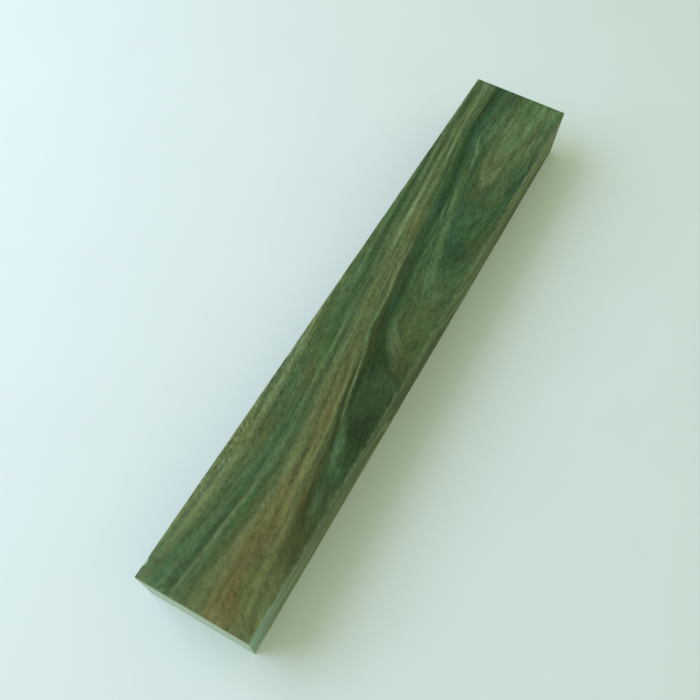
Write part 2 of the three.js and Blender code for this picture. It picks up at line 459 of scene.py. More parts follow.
SEAMS: tuple[Seam, ...] = (
    # The pale seam up the middle of the block and the dark lines on both of its sides
    Seam((-58, -10.4), (-40, -6.0), 1.1, Tone.PALE_FIBRE, 0.25),
    Seam((-46, -7.2), (-22, -2.1), 1.0, Tone.PALE_FIBRE, 0.4),
    Seam((-23, -2.1), (-12, 0.9), 1.2, Tone.PALE_FIBRE, 0.45),
    Seam((-13, 0.7), (4, 2.1), 1.1, Tone.PALE_FIBRE, 0.35),
    Seam((0, 1.4), (18.5, 4.3), 1.2, Tone.PALE_FIBRE, 0.6),
    Seam((13.5, 3.9), (37, 5.7), 1.1, Tone.PALE_FIBRE, 0.35),
    Seam((-58, -12.4), (-31, -5.7), 1.8, Tone.BLACK_GREEN, 0.7),
    Seam((-32, -6.1), (-11, -0.5), 1.5, Tone.DARK_BROWN, 0.8),
    Seam((-44, -9.1), (-25, -5.0), 1.6, Tone.BLACK_GREEN, 0.55),
    Seam((-12, -0.7), (16, 2), 1.4, Tone.DARK_BROWN, 0.65),
    Seam((16, 2.8), (45.5, 5.1), 1.2, Tone.DARK_BROWN, 0.45),
    Seam((-84, -14), (-62, -10.4), 1.5, Tone.DARK_BROWN, 0.65),
    Seam((-68, -11.8), (-48, -6.3), 1.4, Tone.BLACK_GREEN, 0.6),
    Seam((-54, -7.7), (-30, -2.9), 1.5, Tone.DARK_BROWN, 0.85),
    Seam((-27, -1.4), (-12, 2), 1.1, Tone.OLIVE_BROWN, 0.6),
    Seam((-12, 2.9), (21.5, 6.5), 1.2, Tone.OLIVE_BROWN, 0.5),
    # The sharp edge where the arcs on the right begin
    Seam((-29.5, -18.9), (-18, -8.3), 1.5, Tone.BLACK_GREEN, 0.35),
    Seam((-23.5, -11.9), (-1, -4.2), 1.4, Tone.BLACK_GREEN, 0.4),
    # Lines beside the deep seam, towards the near right side
    Seam((-51.5, -19), (-32, -11.5), 1.6, Tone.SHADED_GREEN, 0.35),
    Seam((-109, -19.7), (-79, -13.3), 1.8, Tone.DARK_BROWN, 0.75),
    Seam((-66, -19.2), (-55, -13.1), 1.4, Tone.BLACK_GREEN, 0.6),
    Seam((-94, -13.6), (-78, -9.6), 1.1, Tone.OLIVE_BROWN, 0.5),
    Seam((-68, -18.8), (-58, -11.9), 1.3, Tone.GREY_GREEN, 0.25),
    Seam((-60, -18.4), (-40, -9.6), 1.3, Tone.SHADED_GREEN, 0.4),
    Seam((-97, -19.8), (-88, -17.9), 1.1, Tone.SAGE, 0.4),
    Seam((-92, -18.1), (-80, -14.6), 1.2, Tone.DARK_TEAL, 0.5),
    # Dark and pale lines of the brown streak
    Seam((-70.5, -1), (-38, 1.9), 1.4, Tone.OLIVE_BROWN, 0.65),
    Seam((-87, -6.0), (-60, -1.5), 1.2, Tone.OLIVE_BROWN, 0.7),
    Seam((-80, -6.9), (-62, -3.9), 1.4, Tone.PALE_TAN, 0.7),
    Seam((-66, -3.8), (-38, 0.9), 1.2, Tone.PALE_TAN, 0.4),
    Seam((-62, -4.7), (-26, 1.9), 1.1, Tone.OLIVE_BROWN, 0.6),
    Seam((-56, -5.8), (-16, 2.3), 1.2, Tone.PALE_TAN, 0.35),
    Seam((-126.5, -15.3), (-102.5, -12.9), 1.3, Tone.PALE_TAN, 0.4),
    Seam((-140.5, -20), (-118.5, -15.3), 1.3, Tone.OLIVE_BROWN, 0.35),
    Seam((-149, -5.5), (-123, -5.1), 1.5, Tone.OLIVE_BROWN, 0.35),
    # Lines of the teal side
    Seam((-125, 7.4), (-97, 6.1), 1.1, Tone.PALE_FIBRE, 0.45),
    Seam((-147.5, 9.6), (-119, 7.2), 1.1, Tone.PALE_FIBRE, 0.2),
    Seam((-131, 1.3), (-96.5, 0.7), 1.6, Tone.BRONZE, 0.6),
    Seam((-92.5, 1.9), (-68.5, 3.4), 1.1, Tone.SHADED_GREEN, 0.6),
    Seam((-62.5, 5.4), (-40.5, 8.1), 1.3, Tone.OLIVE_BROWN, 0.5),
    Seam((-38.5, 8.5), (-14.5, 12.3), 1.0, Tone.PALE_GREEN, 0.2),
    Seam((-18.5, 12.1), (-0.5, 14.9), 1.0, Tone.PALE_GREEN, 0.15),
    Seam((-111.5, 18.7), (-83, 18.5), 1.3, Tone.PALE_FIBRE, 0.3),
    Seam((-73, 19.5), (-45, 21.7), 1.3, Tone.PALE_FIBRE, 0.4),
    # Lines of the far end
    Seam((32, 13.2), (66, 15.0), 2.6, Tone.PALE_FIBRE, 0.9),
    Seam((62, 15.5), (80, 17.0), 1.7, Tone.PALE_FIBRE, 0.75),
    Seam((62, 21), (88, 22.9), 1.4, Tone.DARK_TEAL, 0.6),
    Seam((114, 22.3), (142, 23.2), 1.8, Tone.BLACK_GREEN, 0.6),
    Seam((122, 24.1), (140, 24.6), 1.1, Tone.PALE_GREEN, 0.8),
    Seam((106, 23.8), (124, 24.3), 1.2, Tone.PALE_GREEN, 0.8),
    Seam((134, 15.9), (150, 16.6), 1.1, Tone.SHADED_GREEN, 0.7),
    Seam((96, 11.8), (114, 13.7), 1.1, Tone.LEAF, 0.7),
    Seam((88, 13.9), (106.5, 15.9), 1.4, Tone.PALE_FIBRE, 0.55),
    Seam((104, 16.4), (138, 18.3), 1.5, Tone.PALE_FIBRE, 0.75),
    Seam((92, 20.5), (114, 21.6), 1.3, Tone.DARK_BRONZE, 0.45),
    Seam((118, 12.5), (151.5, 11.6), 1.6, Tone.BLACK_GREEN, 0.5),
    Seam((126, 13.2), (152, 12.7), 1.5, Tone.BLACK_GREEN, 0.85),
    Seam((92, 2), (104.5, 4.3), 1.0, Tone.PALE_GREEN, 0.6),
    Seam((102, 3.6), (114.5, 6.6), 0.9, Tone.PALE_GREEN, 0.65),
    Seam((94, 0), (110, 3.8), 1.3, Tone.DARK_SEA, 0.5),
    Seam((126, 4.4), (150, 3.9), 1.2, Tone.DARK_SEA, 0.3),
    Seam((63.5, -0.8), (83, 2.6), 1.3, Tone.PALE_GREEN, 0.5),
    Seam((45.5, 0.4), (67.5, 2.2), 1.4, Tone.PALE_GREEN, 0.4),
    Seam((77.5, -1.4), (99, 0.8), 1.2, Tone.DARK_SEA, 0.6),
    Seam((78.5, -12.3), (91.5, -13.6), 1.3, Tone.DARK_SEA, 0.45),
)


class Arris(Enum):
    """The four long edges, by the side that each lies on: +1 or -1 in Y, and +1 or -1 in Z."""

    TOP_LEFT = (1, 1)
    TOP_RIGHT = (-1, 1)
    BOTTOM_LEFT = (1, -1)
    BOTTOM_RIGHT = (-1, -1)


@dataclass(frozen=True)
class Chip:
    """A knock in a long arris.

    Attributes:
        arris: Which edge it is on.
        along: Where it is along the block, in mm.
        length: How long it is, in mm.
        bite: How deep it goes, in mm.
    """

    arris: Arris
    along: float
    length: float
    bite: float


CHIPS: tuple[Chip, ...] = (
    Chip(Arris.TOP_LEFT, -143.3, 3.4, 0.9),
    Chip(Arris.TOP_LEFT, -41.8, 5.0, 0.6),
    Chip(Arris.TOP_RIGHT, -136.4, 3.2, 0.9),
    Chip(Arris.TOP_RIGHT, -110.0, 2.6, 0.8),
    Chip(Arris.TOP_RIGHT, -48.5, 2.8, 0.6),
    Chip(Arris.BOTTOM_RIGHT, 62.0, 4.2, 0.8),
    Chip(Arris.BOTTOM_LEFT, 96.0, 3.6, 0.9),
)


@dataclass(frozen=True)
class GrowthFigure:
    """The growth layers through the block, as a level in mm at every point.

    On the wide face the level is a thin-plate surface through the growth lines: a plane plus, for each point
    of a line, a weight times r^2 log r of the distance r to it, with lengths along the grain counted shorter.
    Below the face the same surface leans along and across the block, and its level rises with depth.

    Attributes:
        lines: The growth lines on the wide face.
        along_share: What a mm along the grain counts for in those distances.
        softness: How loosely the surface follows the lines' points, where 0 would be exactly.
        least_square: The least square of a distance that the logarithm is taken of.
        batch: How many points are worked out at a time, to save memory.
        lean_along: How far the figure leans along the block for each mm of depth, in mm.
        lean_across: How far it leans across the block for each mm of depth, in mm.
        level_per_depth: How much the level rises for each mm of depth, in mm.
        fan_rows: Which two growth lines the fibres fan out between, the left one first.
        fan_closed: How far apart those two lie where the fibres run level, in mm.
    """

    lines: tuple[GrowthLine, ...] = GROWTH_LINES
    along_share: float = 0.3
    softness: float = 0.01
    least_square: float = 1e-12
    batch: int = 20000
    lean_along: float = 0.9
    lean_across: float = 0.22
    level_per_depth: float = 0.4
    fan_rows: tuple[int, int] = (1, 4)
    fan_closed: float = 18.8

    def face_places(self, points: np.ndarray, top: float) -> np.ndarray:
        """Returns where each point comes out on the wide face along the figure's lean, in mm."""
        return points[:, :2] + (top - points[:, 2:]) * (self.lean_along, self.lean_across)

    def fanned(self, points: np.ndarray) -> np.ndarray:
        """Places points across the fibres, which run between two growth lines and fan out where these part.

        Args:
            points: One row of x, y and z in mm for each point.

        Returns:
            How far across from the left one of the two each point lies, in mm where the fan is closed.
        """
        paths = [np.array(self.lines[row].path, float).T for row in self.fan_rows]
        left, right = (np.interp(points[:, 0], along, across) for along, across in paths)
        return (points[:, 1] - left) / np.maximum((left - right) / self.fan_closed, 1.0)

    def kernel(self, first: np.ndarray, second: np.ndarray) -> np.ndarray:
        """Returns r^2 log r for the distance r between every two points of the two lists."""
        squares = ((first[:, None] - second[None]) ** 2).sum(-1)
        return 0.5 * squares * np.log(np.maximum(squares, self.least_square))

    def surface(self) -> tuple[np.ndarray, np.ndarray, np.ndarray]:
        """Solves the thin-plate surface.

        Returns:
            The lines' points squeezed along the grain, the weight of each, and the plane's three numbers.
        """
        knots = np.array([point for line in self.lines for point in line.path], float)
        knots = knots * (self.along_share, 1.0)
        levels = np.array([line.level for line in self.lines for _ in line.path], float)
        count = len(knots)
        stiff = self.kernel(knots, knots) + self.softness * count * np.eye(count)
        plane = np.column_stack([np.ones(count), knots])
        system = np.block([[stiff, plane], [plane.T, np.zeros((3, 3))]])
        answer = np.linalg.solve(system, np.concatenate([levels, np.zeros(3)]))
        return knots, answer[:count], answer[count:]

    def levels_at(self, points: np.ndarray, top: float) -> np.ndarray:
        """Works out the growth level at points in the block.

        Args:
            points: One row of x, y and z in mm for each point.
            top: The height of the wide face, in mm.

        Returns:
            The level at each point, in mm across the growth.
        """
        knots, weights, plane = self.surface()
        places = self.face_places(points, top) * (self.along_share, 1.0)
        levels = plane[0] + places @ plane[1:] + self.level_per_depth * (top - points[:, 2])
        for part in np.array_split(np.arange(len(places)), 1 + len(places) // self.batch):
            levels[part] += self.kernel(places[part], knots) @ weights
        return levels


@dataclass(frozen=True)
class Pattern:
    """Smooth noise whose features have a real size.

    Attributes:
        size: How long a feature is along the three coordinates, in mm.
        turn: How far the pattern is turned about X, Y and Z, in degrees.
        detail: How many finer layers it has.
        roughness: How strong each of those is beside the one before it.
    """

    size: tuple[float, float, float]
    turn: tuple[float, float, float] = (0.0, 0.0, 0.0)
    detail: float = 2.0
    roughness: float = 0.55

    def lay(self, tree: bpy.types.NodeTree, place: bpy.types.NodeSocket,
            unit: float = 1.0) -> bpy.types.NodeSocket:
        """Lays the noise over a material and takes its mean of one half away.

        Args:
            tree: The material's node tree.
            place: The coordinates that carry the pattern.
            unit: What a mm is in those coordinates.

        Returns:
            A number about zero, mostly within a quarter either way.
        """
        mapped = add_node(tree, "Mapping", {"Vector": place, "Rotation": tuple(map(radians, self.turn)),
                                            "Scale": tuple(length * unit for length in self.size)},
                          vector_type="TEXTURE")
        noise = add_node(tree, "TexNoise", {"Vector": mapped, "Scale": 1.0, "Detail": self.detail,
                                            "Roughness": self.roughness})
        return add_node(tree, "Math", {0: noise, 1: 0.5}, operation="SUBTRACT")


@dataclass(frozen=True)
class WoodSockets:
    """What the blank's own attributes and the patterns laid over them bring to its material.

    Attributes:
        tree: The material's node tree.
        along: How far along the block the figure has come, in mm.
        level: The growth level, in mm.
        stain: The stains' summed colour.
        cover: How much of the wood the stains cover.
        warmth: How much there is of the near end's browner wood.
        side_light: How much painted light the long sides get, shown as paler wood.
        wear_and_highlight: How worn it is along an arris, with the painted highlights on the ends' rims
            and by the near end.
        end: How furry the saw has left it, thinner just under the wide face as painted shade.
        fuzz: How many torn fibres stand up.
        streak: Long streaks in the growth layers.
        thread: Finer lines in them.
        cloud: Broad clouds of pigment.
        mottle: Short patches along the fibres.
        fibre: Bundles of fibres.
        fleck: Slanting flecks of the interlocked grain.
        pore: Open pores.
        kerf: The saw's marks.
    """

    tree: bpy.types.NodeTree
    along: bpy.types.NodeSocket
    level: bpy.types.NodeSocket
    stain: bpy.types.NodeSocket
    cover: bpy.types.NodeSocket
    warmth: bpy.types.NodeSocket
    side_light: bpy.types.NodeSocket
    wear_and_highlight: bpy.types.NodeSocket
    end: bpy.types.NodeSocket
    fuzz: bpy.types.NodeSocket
    streak: bpy.types.NodeSocket
    thread: bpy.types.NodeSocket
    cloud: bpy.types.NodeSocket
    mottle: bpy.types.NodeSocket
    fibre: bpy.types.NodeSocket
    fleck: bpy.types.NodeSocket
    pore: bpy.types.NodeSocket
    kerf: bpy.types.NodeSocket


@dataclass(frozen=True)
class BareSandalwood:
    """Green sandalwood, planed on its faces and sawn on its ends, with no finish on it.

    The dense, oily heartwood takes a dull satin from the planer, so its gloss is broad and weak. Growth
    layers run as teal, green and olive stripes. Short fibres make fine streaks along the grain, and the
    interlocked grain crosses them with faint slanting flecks. The long sides are paler with painted light:
    cool by the near end, where the room's light falls on them, and yellowed beyond by warm bounced light.
    The sawn ends are fuzzy with cut fibres, so they are paler still, and matt. Their fur is painted brighter
    for the light on the near end, with a painted highlight along their rims and painted shade just below it.
    """

    name: str = "bare planed green sandalwood"
    # Painted light on the long sides: a cool pale tone where the room's light falls by the near end, and a
    # yellowed one for warm light bounced onto them further on
    painted_cool_side_light: str = "#8aab9c"
    painted_warm_side_light: str = "#acae7a"
    # Pale tone of worn arrises, which also paints the highlight where the faces meet the near end
    worn_and_lit_fibre: str = "#9fb08a"
    # Pale tone of the ends' worn rims, with a painted highlight
    rim_highlight_fibre: str = "#d6e0b4"
    # Pale saw fur on the ends, painted brighter for the light that falls on the near end
    saw_dust_and_light: str = "#c8dac8"
    ior: float = 1.5
    gloss: float = 0.1
    planed_roughness: float = 0.6
    sawn_roughness: float = 0.9
    # Patterns in growth coordinates: along the fibres, across the layers and around the rings
    streak: Pattern = Pattern((60.0, 1.6, 40.0), detail=3.0)
    thread: Pattern = Pattern((15.0, 1.1, 7.0))
    # Patterns in fibre coordinates: along the block, across the sweep of the fibres, and up. Single fibres
    # are a few hundredths of a mm thick, so it is their bundles that are drawn. The pores are drawn about
    # three times as broad as they are, because finer ones wouldn't show.
    cloud: Pattern = Pattern((14.0, 5.0, 5.0), detail=3.0)
    mottle: Pattern = Pattern((6.5, 1.8, 2.0))
    fibre: Pattern = Pattern((2.3, 1.1, 1.2))
    fleck: Pattern = Pattern((2.2, 0.8, 0.8), (0.0, 0.0, 24.0))
    pore: Pattern = Pattern((3.0, 0.3, 0.3), detail=1.0)
    saw_mark: Pattern = Pattern((60.0, 40.0, 1.3), (9.0, 0.0, 0.0), detail=1.0)
    # How far streaks and clouds push the bands' edges, in mm for a pattern's swing of one
    streak_push: float = 0.7
    cloud_push: float = 0.3
    # How much each pattern makes the stains and the painted light on the sides uneven
    stain_unevenness: float = 1.2
    side_light_unevenness: float = 2.2
    # How much each pattern lightens and darkens the wood, and how lively that is at either end
    streak_light: float = 0.7
    mottle_light: float = 0.6
    thread_light: float = 1.05
    fibre_light: float = 0.85
    fleck_light: float = 0.6
    far_liveliness: float = 1.15
    near_liveliness: float = 0.8
    # Where in its pattern a pore begins and is full, and how dark it is then
    pore_edge: tuple[float, float] = (0.13, 0.25)
    pore_dark: float = 0.09
    # The same for a torn fibre, and how pale it is
    torn_edge: tuple[float, float] = (0.07, 0.2)
    torn_light: float = 0.55
    # How pale a worn arris and a painted highlight are on the whole, and how much the fibres make that uneven
    pale_edge_share: float = 0.45
    pale_edge_unevenness: float = 2.0
    # How thick the fur on the ends is on the whole, and how much the saw's marks and the flecks change it
    fur_share: float = 0.76
    kerf_fur: float = 0.5
    fleck_fur: float = 0.6
    # How much the fibres make the gloss uneven
    roughness_unevenness: float = 0.25
    # What threads and saw marks add to the relief of the fibres, and its strength and its height in mm
    thread_relief: float = 0.5
    kerf_relief: float = 4.0
    relief_strength: float = 0.6
    relief_height: float = 0.06

    def sockets(self, tree: bpy.types.NodeTree) -> WoodSockets:
        """Reads the blank's attributes and lays the patterns over them.

        Args:
            tree: The material's node tree.

        Returns:
            The sockets that the rest of the material is made from.
        """
        growth, fibres, stain, tint, surface = (
            add_node(tree, "Attribute", attribute_name=name, out="Vector")
            for name in ("growth", "fibres", "stain", "tint", "surface"))
        along, level, _ = add_node(tree, "SeparateXYZ", {0: growth}).node.outputs
        warmth, cover, side_light = add_node(tree, "SeparateXYZ", {0: tint}).node.outputs
        wear_and_highlight, end, fuzz = add_node(tree, "SeparateXYZ", {0: surface}).node.outputs
        return WoodSockets(
            tree=tree, along=along, level=level, stain=stain, cover=cover,
            warmth=warmth, side_light=side_light, wear_and_highlight=wear_and_highlight, end=end, fuzz=fuzz,
            streak=self.streak.lay(tree, growth),
            thread=self.thread.lay(tree, growth),
            cloud=self.cloud.lay(tree, fibres),
            mottle=self.mottle.lay(tree, fibres),
            fibre=self.fibre.lay(tree, fibres),
            fleck=self.fleck.lay(tree, fibres),
            pore=self.pore.lay(tree, fibres),
            kerf=self.saw_mark.lay(tree, fibres))

    @staticmethod
    def band_colour(tree: bpy.types.NodeTree, share: bpy.types.NodeSocket,
                    tones: list[Tone]) -> bpy.types.NodeSocket:
        """Adds the colour of each growth band.

        Args:
            tree: The material's node tree.
            share: The growth level brought to 0 to 1 over the bands.
            tones: The tone of each band.

        Returns:
            The colour.
        """
        colour = add_node(tree, "ValToRGB", {0: share})
        low, high = GROWTH_BANDS[0].level, GROWTH_BANDS[-1].level
        stops = colour.node.color_ramp.elements
        for band in GROWTH_BANDS[1:-1]:
            stops.new((band.level - low) / (high - low))
        for stop, tone in zip(stops, tones):
            stop.color = linear_colour(tone.value)
        return colour

    @staticmethod
    def seamed(tree: bpy.types.NodeTree, wood: bpy.types.NodeSocket, strayed: bpy.types.NodeSocket,
               seam: Seam, levels: np.ndarray) -> bpy.types.NodeSocket:
        """Draws one seam, as a long ellipse in growth coordinates.

        Args:
            tree: The material's node tree.
            wood: The colour so far.
            strayed: The growth coordinates.
            seam: The seam.
            levels: The growth levels of its two ends, in mm.

        Returns:
            The colour with the seam in it.
        """
        ahead, rise = seam.end[0] - seam.start[0], float(levels[1] - levels[0])
        middle = ((seam.start[0] + seam.end[0]) / 2.0, float(levels.mean()), 0.0)
        spot = add_node(tree, "Mapping", {"Vector": strayed, "Location": middle,
                                          "Rotation": (0.0, 0.0, atan2(rise, ahead)),
                                          "Scale": (hypot(ahead, rise), seam.breadth, 1.0)},
                        vector_type="TEXTURE")
        spot = add_node(tree, "TexGradient", {"Vector": spot}, out="Fac", gradient_type="SPHERICAL")
        spot = add_node(tree, "MapRange", {"Value": spot, "To Max": seam.amount},
                        interpolation_type="SMOOTHSTEP")
        tone = linear_colour(seam.tone.value)
        return add_node(tree, "Mix", {0: spot, FIRST: wood, SECOND: tone}, **COLOUR_MIX)

    def banded(self, parts: WoodSockets, strayed: bpy.types.NodeSocket) -> bpy.types.NodeSocket:
        """Colours the growth bands, greener at the far end and browner at the near one.

        Args:
            parts: The material's sockets.
            strayed: The growth level, pushed about by the patterns.

        Returns:
            The colour.
        """
        tree = parts.tree
        share = add_node(tree, "MapRange", {"Value": strayed, "From Min": GROWTH_BANDS[0].level,
                                            "From Max": GROWTH_BANDS[-1].level}, clamp=False)
        share = add_node(tree, "Math", {0: share, 1: 1.0}, operation="PINGPONG")
        warm = add_node(tree, "Math", {0: parts.cloud, 1: parts.warmth}, operation="ADD", use_clamp=True)
        far_wood = self.band_colour(tree, share, [band.far for band in GROWTH_BANDS])
        near_wood = self.band_colour(tree, share, [band.near for band in GROWTH_BANDS])
        return add_node(tree, "Mix", {0: warm, FIRST: far_wood, SECOND: near_wood}, **COLOUR_MIX)

    def grown(self, parts: WoodSockets, seam_levels: np.ndarray) -> bpy.types.NodeSocket:
        """Colours the growth bands, then lays the stains over them, and the seams over both.

        Streaks and clouds of pigment push the bands' edges about by half a mm or so. The stains come as their
        summed colour and how much of the wood they cover, both uneven with the streaks and the mottle.

        Args:
            parts: The material's sockets.
            seam_levels: The growth levels of both ends of each seam, in mm.

        Returns:
            The colour.
        """
        tree = parts.tree
        strayed = add_node(tree, "Math", {0: parts.streak, 1: self.streak_push, 2: parts.level},
                           operation="MULTIPLY_ADD")
        strayed = add_node(tree, "Math", {0: parts.cloud, 1: self.cloud_push, 2: strayed},
                           operation="MULTIPLY_ADD")
        wood = self.banded(parts, strayed)
        uneven = add_node(tree, "Math", {0: parts.streak, 1: self.stain_unevenness, 2: 1.0},
                          operation="MULTIPLY_ADD")
        uneven = add_node(tree, "Math", {0: parts.mottle, 1: self.stain_unevenness, 2: uneven},
                          operation="MULTIPLY_ADD")
        bare = add_node(tree, "Math", {0: uneven, 1: parts.cover}, operation="MULTIPLY", use_clamp=True)
        bare = add_node(tree, "Math", {0: 1.0, 1: bare}, operation="SUBTRACT")
        wood = add_node(tree, "VectorMath", {0: wood, "Scale": bare}, operation="SCALE")
        wood = add_node(tree, "VectorMath", {0: parts.stain, 1: uneven, 2: wood}, operation="MULTIPLY_ADD")
        drawn = add_node(tree, "CombineXYZ", {"X": parts.along, "Y": strayed})
        for seam, levels in zip(SEAMS, seam_levels):
            wood = self.seamed(tree, wood, drawn, seam, levels)
        return wood

    def painted_side_light(self, parts: WoodSockets, wood: bpy.types.NodeSocket) -> bpy.types.NodeSocket:
        """Paints light on the long sides as paler wood: a cool tone by the near end, where the room's light
        falls, and a yellowed one beyond it for warm bounced light.

        Args:
            parts: The material's sockets.
            wood: The colour so far.

        Returns:
            The colour with the paler sides.
        """
        tree = parts.tree
        side_light_share = add_node(tree, "Math", {0: parts.streak, 1: self.side_light_unevenness, 2: 1.0},
                         operation="MULTIPLY_ADD")
        side_light_share = add_node(tree, "Math", {0: side_light_share, 1: parts.side_light}, operation="MULTIPLY", use_clamp=True)
        # Painted light: cool by the near end, yellowed for warm bounced light beyond
        side_light_tone = add_node(tree, "Mix", {0: parts.warmth, FIRST: linear_colour(self.painted_warm_side_light),
                                       SECOND: linear_colour(self.painted_cool_side_light)}, **COLOUR_MIX)
        return add_node(tree, "Mix", {0: side_light_share, FIRST: wood, SECOND: side_light_tone}, **COLOUR_MIX)

    def grained(self, parts: WoodSockets, wood: bpy.types.NodeSocket,
                pits: bpy.types.NodeSocket) -> bpy.types.NodeSocket:
        """Lightens and darkens the wood with its grain.

        Streaks, mottle, threads, fibres and flecks are each finer than the last. The browner wood towards the
        near end has the quieter grain.

        Args:
            parts: The material's sockets.
            wood: The colour so far.
            pits: How dark the pores are.

        Returns:
            The colour with the grain in it.
        """
        tree = parts.tree
        grain = add_node(tree, "Math", {0: parts.streak, 1: self.streak_light}, operation="MULTIPLY")
        for pattern, strength in ((parts.mottle, self.mottle_light), (parts.thread, self.thread_light),
                                  (parts.fibre, self.fibre_light), (parts.fleck, self.fleck_light)):
            grain = add_node(tree, "Math", {0: pattern, 1: strength, 2: grain}, operation="MULTIPLY_ADD")
        grain = add_node(tree, "Math", {0: grain, 1: pits}, operation="SUBTRACT")
        lively = add_node(tree, "MapRange", {"Value": parts.warmth, "To Min": self.far_liveliness,
                                             "To Max": self.near_liveliness})
        light = add_node(tree, "Math", {0: grain, 1: lively, 2: 1.0}, operation="MULTIPLY_ADD")
        return add_node(tree, "VectorMath", {0: wood, "Scale": light}, operation="SCALE")

    def pale_edge(self, parts: WoodSockets, wood: bpy.types.NodeSocket) -> bpy.types.NodeSocket:
        """Makes the worn arrises pale, with the painted highlights by the near end and on the ends' rims, and
        the torn fibres by the left arris, which catch the light.

        Args:
            parts: The material's sockets.
            wood: The colour so far.

        Returns:
            The colour with the wear in it.
        """
        tree = parts.tree
        torn = add_node(tree, "MapRange", {"Value": parts.fleck, "From Min": self.torn_edge[0],
                                           "From Max": self.torn_edge[1], "To Max": self.torn_light})
        torn = add_node(tree, "Math", {0: torn, 1: parts.fuzz}, operation="MULTIPLY")
        # Pale edges: worn arrises, and the painted highlights by the near end and on the ends' rims
        pale_edge = add_node(tree, "Math", {0: parts.fibre, 1: self.pale_edge_unevenness, 2: self.pale_edge_share},
                        operation="MULTIPLY_ADD")
        pale_edge = add_node(tree, "Math", {0: pale_edge, 1: parts.wear_and_highlight}, operation="MULTIPLY", use_clamp=True)
        pale_edge = add_node(tree, "Math", {0: pale_edge, 1: torn}, operation="MAXIMUM")
        pale = linear_colour(self.worn_and_lit_fibre)
        return add_node(tree, "Mix", {0: pale_edge, FIRST: wood, SECOND: pale}, **COLOUR_MIX)

    def furred(self, parts: WoodSockets, wood: bpy.types.NodeSocket) -> bpy.types.NodeSocket:
        """Lays the saw's pale fur over the ends, painted brighter for the light that falls on the near end,
        and paler still along their rims, where a painted highlight lies over the wear.

        Args:
            parts: The material's sockets.
            wood: The colour so far.

        Returns:
            The colour with the fur in it.
        """
        tree = parts.tree
        fur = add_node(tree, "Math", {0: parts.kerf, 1: self.kerf_fur, 2: self.fur_share},
                       operation="MULTIPLY_ADD")
        fur = add_node(tree, "Math", {0: parts.fleck, 1: self.fleck_fur, 2: fur}, operation="MULTIPLY_ADD")
        fur = add_node(tree, "Math", {0: fur, 1: parts.end}, operation="MULTIPLY", use_clamp=True)
        # Pale saw fur, painted brighter for the light on the near end
        dust_and_light = linear_colour(self.saw_dust_and_light)
        wood = add_node(tree, "Mix", {0: fur, FIRST: wood, SECOND: dust_and_light}, **COLOUR_MIX)
        # Worn rims of the ends, with a painted highlight
        lit_worn_rim = add_node(tree, "Math", {0: parts.wear_and_highlight, 1: parts.end}, operation="MULTIPLY", use_clamp=True)
        pale = linear_colour(self.rim_highlight_fibre)
        return add_node(tree, "Mix", {0: lit_worn_rim, FIRST: wood, SECOND: pale}, **COLOUR_MIX)

    def roughened(self, parts: WoodSockets) -> bpy.types.NodeSocket:
        """Returns the roughness: satin where it is planed, matt where it is sawn, uneven with the fibres."""
        rough = add_node(parts.tree, "MapRange", {"Value": parts.end, "To Min": self.planed_roughness,
                                                  "To Max": self.sawn_roughness})
        return add_node(parts.tree, "Math", {0: parts.fibre, 1: self.roughness_unevenness, 2: rough},
                        operation="MULTIPLY_ADD")

    def relieved(self, parts: WoodSockets, pits: bpy.types.NodeSocket) -> bpy.types.NodeSocket:
        """Adds the relief of fibres and threads, of pores, and of the saw's marks on the ends.

        Args:
            parts: The material's sockets.
            pits: How deep the pores are.

        Returns:
            The way that the surface faces.
        """
        tree = parts.tree
        relief = add_node(tree, "Math", {0: parts.thread, 1: self.thread_relief, 2: parts.fibre},
                          operation="MULTIPLY_ADD")
        relief = add_node(tree, "Math", {0: relief, 1: pits}, operation="SUBTRACT")
        scored = add_node(tree, "Math", {0: parts.kerf, 1: parts.end}, operation="MULTIPLY")
        relief = add_node(tree, "Math", {0: scored, 1: self.kerf_relief, 2: relief},
                          operation="MULTIPLY_ADD")
        return add_node(tree, "Bump", {"Height": relief, "Strength": self.relief_strength,
                                       "Distance": self.relief_height * MM})

    def build(self, seam_levels: np.ndarray) -> bpy.types.Material:
        """Builds the wood.

        Args:
            seam_levels: The growth levels of both ends of each seam, in mm.

        Returns:
            A material that reads the block's attributes growth, fibres, stain, tint and surface.
        """
        material = bpy.data.materials.new(self.name)
        material.use_nodes = True
        tree = material.node_tree
        tree.nodes.clear()
        parts = self.sockets(tree)
        pits = add_node(tree, "MapRange", {"Value": parts.pore, "From Min": self.pore_edge[0],
                                           "From Max": self.pore_edge[1], "To Max": self.pore_dark})
        wood = self.grown(parts, seam_levels)
        wood = self.painted_side_light(parts, wood)
        wood = self.grained(parts, wood, pits)
        wood = self.pale_edge(parts, wood)
        wood = self.furred(parts, wood)
        shader = add_node(tree, "BsdfPrincipled", {
            "Base Color": wood, "Roughness": self.roughened(parts), "IOR": self.ior,
            "Specular IOR Level": self.gloss, "Normal": self.relieved(parts, pits)})
        add_node(tree, "OutputMaterial", {"Surface": shader})
        return material


